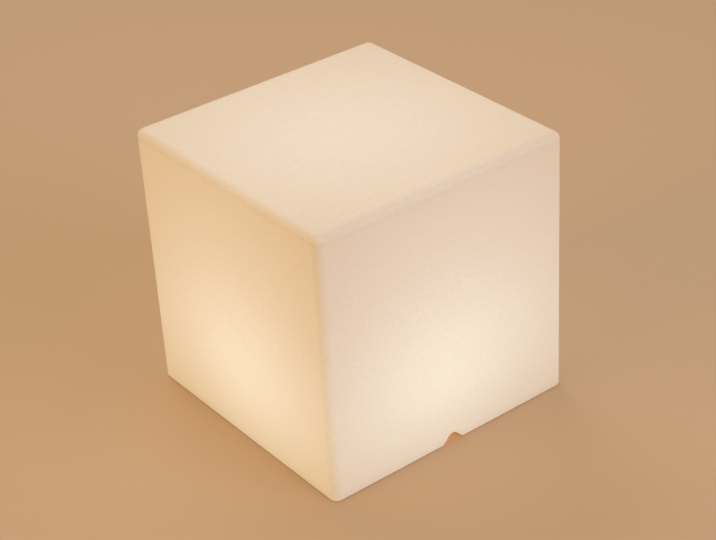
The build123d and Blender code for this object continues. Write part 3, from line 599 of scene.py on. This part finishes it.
shape = bmesh.new()
upright = Matrix.Rotation(math.radians(90), 4, "X")
to_ring = Matrix.Translation((symbol_radius, 0, 0))
bmesh.ops.create_circle(
    shape,
    cap_ends=True,
    segments=symbol_sides,
    radius=symbol_tube,
    matrix=Matrix.Rotation(symbol_gap / 2, 4, "Z") @ to_ring @ upright,
)
bmesh.ops.spin(
    shape,
    geom=list(shape.faces),
    cent=(0, 0, 0),
    axis=(0, 0, 1),
    angle=math.tau - symbol_gap,
    steps=symbol_steps,
    use_merge=False,
)
for end in (symbol_gap / 2, -symbol_gap / 2):
    ball = Matrix.Rotation(end, 4, "Z") @ to_ring
    bmesh.ops.create_icosphere(shape, subdivisions=ball_fineness, radius=ball_radius, matrix=ball)
for reach in (bar_near, bar_far):
    ball = Matrix.Translation((reach, 0, 0))
    bmesh.ops.create_icosphere(shape, subdivisions=ball_fineness, radius=symbol_tube, matrix=ball)
bar_middle = Matrix.Translation(((bar_near + bar_far) / 2, 0, 0))
bmesh.ops.create_cone(
    shape,
    cap_ends=False,
    segments=symbol_sides,
    radius1=symbol_tube,
    radius2=symbol_tube,
    depth=bar_far - bar_near,
    matrix=bar_middle @ Matrix.Rotation(math.radians(90), 4, "Y"),
)
for vert in shape.verts:
    vert.co.z += dish_z(math.hypot(vert.co.x, vert.co.y))
bmesh.ops.remove_doubles(shape, verts=shape.verts, dist=1e-7)
bmesh.ops.recalc_face_normals(shape, faces=shape.faces)
bmesh.ops.rotate(shape, verts=shape.verts, matrix=Matrix.Rotation(math.radians(90), 3, "Z"))
bmesh.ops.translate(shape, verts=shape.verts, vec=(button_x, button_y, 0))
symbol_finish = moulded(
    "symbol_print", [], symbol_white, symbol_rubbed, roughness=0.5, grain=0.0004, depth=0.00001
)
symbol = new_piece("power_symbol", shape, symbol_finish)
symbol.data.shade_smooth()
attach(symbol, "button")

# The silicone membrane over the button's boss, copied into a piece of its own on the lamp's body.
shape = bmesh.new()
shape.from_mesh(nodes["button_membrane"].data)
membrane = new_piece("membrane_skin", shape, seal_finish)
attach(membrane, "lamp")
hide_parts("button_membrane")
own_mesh(membrane)


# ------------------------------------------------------------------ charging socket
# A black threaded barrel with a nickel nut, centre pin and tinned tags.
# It goes in from below, and the nut on its inside end pulls its flange against the cover.
def threads(centred, pitch):
    """A screw thread about an upright axis through zero, on the surfaces that stand upright."""
    turns = centred.parts()[2] * (math.tau / pitch) + around(centred)
    return centred.maths("SINE", turns) * on_sides(centred)


jack_x, jack_y = -0.020, -0.022
jack_pitch, thread_depth = 0.0010, 0.0001
jack_black, jack_dust = (0.020, 0.020, 0.021), (0.05, 0.05, 0.05)


def jack_threads(place):
    return threads(place.vector("SUBTRACT", place, (jack_x, jack_y, 0.0)), jack_pitch)


moulded(
    "jack_plastic", ["charge_jack"], jack_black, jack_dust,
    roughness=0.42, grain=0.0005, depth=0.00001, relief=jack_threads, relief_depth=thread_depth,
)

turning_size, turning_run, turning_depth = 0.00008, (0.1, 0.1, 1.0), 0.000004

start, place = finish("plated_nickel", "jack_nut", "jack_pin", "jack_tags")
turned = noise(start.vector("MULTIPLY", place, turning_run), turning_size)
stain = noise(place, stain_size, detail=4.0).rise(0.5, 0.8)
skin(
    start,
    Base_Color=(stain * 0.4).blend(nickel, weld_dark),
    Metallic=1.0,
    Roughness=turned * 0.16 + stain * 0.15 + 0.18,
    Normal=start.node("Bump", Distance=turning_depth, Height=turned),
)

# ------------------------------------------------------------------ socket flap
# Soft grey rubber in one moulding: the flap with its nib, the anchor that is pulled through
# two holes of the cover, and between them a thin ribbed fold that works as the hinge.
flap_rubber, flap_dust = (0.10, 0.10, 0.104), (0.19, 0.18, 0.165)
flap_pieces = ["socket_flap", "flap_anchor"]
fold_finish = moulded(
    "flap_rubber", flap_pieces, flap_rubber, flap_dust, roughness=0.68, grain=0.0004, depth=0.00002
)

fold_width, fold_thickness = 0.0160, 0.0003
fold_near, fold_far, fold_z = -0.0110, -0.0123, 0.0187
fold_rib, fold_ribs = 0.00012, 2
fold_columns, fold_steps = 8, 12

shape = bmesh.new()
bmesh.ops.create_grid(shape, x_segments=fold_columns, y_segments=fold_steps, size=0.5)
bmesh.ops.scale(shape, verts=shape.verts, vec=(fold_width, fold_near - fold_far, 1))
for vert in shape.verts:
    vert.co.z = fold_rib * math.cos(vert.co.y / (fold_near - fold_far) * math.tau * fold_ribs)
bmesh.ops.solidify(shape, geom=list(shape.faces), thickness=fold_thickness)
middle = Vector((jack_x, (fold_near + fold_far) / 2, fold_z + fold_thickness / 2))
bmesh.ops.translate(shape, verts=shape.verts, vec=middle)
bmesh.ops.recalc_face_normals(shape, faces=shape.faces)
fold = new_piece("flap_fold_skin", shape, fold_finish)
fold.data.shade_smooth()
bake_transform(fold)

# ------------------------------------------------------------------ charge lamp
# A clear acrylic light pipe with a small flange, pressed into the cover below its LED.
pipe_clear, pipe_hazed = (0.86, 0.90, 0.86), (0.74, 0.80, 0.74)
pipe_through, acrylic_index = 0.85, 1.49
haze_size, haze_depth = 0.0006, 0.00002

start, place = finish("clear_acrylic", "charge_light")
haze = noise(place, haze_size, detail=3.0)
skin(
    start,
    Base_Color=haze.rise(0.3, 0.9).blend(pipe_clear, pipe_hazed),
    Roughness=haze * 0.15 + 0.08,
    Transmission_Weight=pipe_through,
    IOR=acrylic_index,
    Normal=start.node("Bump", Distance=haze_depth, Height=haze),
)


# ------------------------------------------------------------------ leads
# Fine stranded wire in soft silicone insulation, red and black, with the slight
# lengthwise ripple that the strands leave.
strand_size, strand_depth = 0.0012, 0.00005
lead_red, lead_red_shaded = (0.50, 0.012, 0.010), (0.40, 0.010, 0.009)
lead_black, lead_black_shaded = (0.018, 0.018, 0.019), (0.030, 0.030, 0.031)


def insulation(colour, shaded, *wearers):
    start, place = finish(wearers[0] + "_insulation", *wearers)
    strand = noise(place, strand_size)
    skin(
        start,
        Base_Color=strand.rise(0.3, 0.7).blend(colour, shaded),
        Roughness=strand * 0.15 + 0.36,
        Normal=start.node("Bump", Distance=strand_depth, Height=strand),
    )


red_leads = ["battery_lead_red", "led_lead_red", "socket_lead_red"]
black_leads = ["battery_lead_black", "led_lead_black", "socket_lead_black"]
insulation(lead_red, lead_red_shaded, *red_leads)
insulation(lead_black, lead_black_shaded, *black_leads)

# ------------------------------------------------------------------ cover
# Light ABS in the same fine texture as the housing. It carries the board on its inside, and
# its outside shows the round marks of four ejector pins.
ejector_x, ejector_y, ejector_radius, ejector_depth = 0.030, 0.036, 0.0025, 0.00008
cover_colour, cover_dust = (0.63, 0.63, 0.605), (0.50, 0.485, 0.44)


def ejector_marks(place):
    mark = from_axis(place, ejector_x, ejector_y, mirrored=True)
    return mark.rise(ejector_radius - 0.0001, ejector_radius + 0.0001)


moulded(
    "cover_plastic", ["bottom_cover"], cover_colour, cover_dust,
    roughness=0.5, grain=0.0006, depth=0.00003, relief=ejector_marks, relief_depth=ejector_depth,
)

# ------------------------------------------------------------------ screws
# Stainless pan-head screws with cross slots, turned and passivated: fine rings
# on the heads, rolled threads on the shanks.
steel, steel_dull = (0.56, 0.56, 0.565), (0.34, 0.335, 0.33)
steel_stain, steel_blot, steel_grain = 0.0015, 0.0004, 0.0002
tool_pitch, tool_depth = 0.00024, 0.000006
thread_share = 0.3


def mirrored_at(middle_x, middle_y, x, y):
    """Centres the screws that stand at x, y on either side of a middle."""

    def centre(place):
        moved = place.vector("SUBTRACT", place, (middle_x, middle_y, 0.0))
        return place.vector("SUBTRACT", place.vector("ABSOLUTE", moved), (x, y, 0.0))

    return centre


def circled_at(radius, count, first):
    """Centres the screws that stand on a circle about the lamp's axis."""

    def centre(place):
        return place.vector("SUBTRACT", sector(place, count, first), (radius, 0.0, 0.0))

    return centre


def screw_finish(wearer, centre, pitch):
    start, place = finish(wearer + "_steel", wearer)
    centred = centre(place)
    rings = start.maths("SINE", from_axis(centred, 0.0, 0.0) * (math.tau / tool_pitch)) * 0.5
    marks = rings + noise(place, steel_grain)
    turned = start.node("Bump", Distance=tool_depth, Height=marks)
    thread = threads(centred, pitch)
    stain = noise(place, steel_stain, detail=4.0).rise(0.45, 0.75)
    skin(
        start,
        Base_Color=(stain * 0.5).blend(steel, steel_dull),
        Metallic=1.0,
        Roughness=stain * 0.15 + noise(place, steel_blot) * 0.1 + 0.24,
        Normal=start.node("Bump", Distance=pitch * thread_share, Height=thread, Normal=turned),
    )


led_screw_circle, led_screw_count, led_screw_first = 0.027, 3, math.radians(90)
cover_screw_x, cover_screw_y = 0.04375, 0.02526
clamp_screw_y = 0.0225
board_middle_x, board_middle_y, board_screw_x, board_screw_y = 0.015, -0.022, 0.018, 0.012
m4_pitch, cover_screw_pitch, small_pitch = 0.0007, 0.0006, 0.0005

on_flange = circled_at(fixing_circle, fixing_count, fixing_first)
on_led_board = circled_at(led_screw_circle, led_screw_count, led_screw_first)
on_cover = mirrored_at(0.0, 0.0, cover_screw_x, cover_screw_y)
on_clamp = mirrored_at(0.0, cells_middle, 0.0, clamp_screw_y)
on_board = mirrored_at(board_middle_x, board_middle_y, board_screw_x, board_screw_y)
screw_finish("module_screws", on_flange, m4_pitch)
screw_finish("led_board_screws", on_led_board, small_pitch)
screw_finish("cover_screws", on_cover, cover_screw_pitch)
screw_finish("clamp_screws", on_clamp, small_pitch)
screw_finish("board_screws", on_board, small_pitch)

# ------------------------------------------------------------------ floor and light
# A plain warm floor that reaches past the picture. Large soft lights stand to the right, to
# the left, which is warmer, and behind, as daylight through a pale awning gives.
floor_colour, floor_roughness, floor_reach = (0.64, 0.44, 0.28), 0.9, 6.0
world_colour, world_strength = (1.0, 0.867, 0.70), 0.60
light_aim, softbox_spread = Vector((0, 0, 0.2)), math.radians(70)

shape = bmesh.new()
bmesh.ops.create_grid(shape, x_segments=1, y_segments=1, size=floor_reach)
start, _ = finish("floor_finish")
skin(start, Base_Color=floor_colour, Roughness=floor_roughness)
floor = new_piece("floor", shape, bpy.data.materials["floor_finish"])

world = bpy.data.worlds.new("room")
world.use_nodes = True
world.node_tree.nodes["Background"].inputs["Color"].default_value = (*world_colour, 1)
world.node_tree.nodes["Background"].inputs["Strength"].default_value = world_strength
bpy.context.scene.world = world


def softbox(name, place, size, power, colour):
    """A square soft light at that place, turned to the lamp."""
    data = bpy.data.lights.new(name, "AREA")
    data.size = size
    data.spread = softbox_spread
    data.energy = power
    data.color = colour
    light = bpy.data.objects.new(name, data)
    light.matrix_world = looking(Vector(place), light_aim)
    bpy.context.scene.collection.objects.link(light)


softbox("key", (1.3, -4.1, 1.5), size=2.8, power=14.9, colour=(0.71, 0.81, 1.0))
softbox("fill", (-4.1, 0.5, 1.5), size=2.8, power=11.1, colour=(1.0, 0.6, 0.07))
softbox("back", (0.9, 3.3, 3.35), size=3.2, power=7.8, colour=(1.0, 1.0, 1.0))
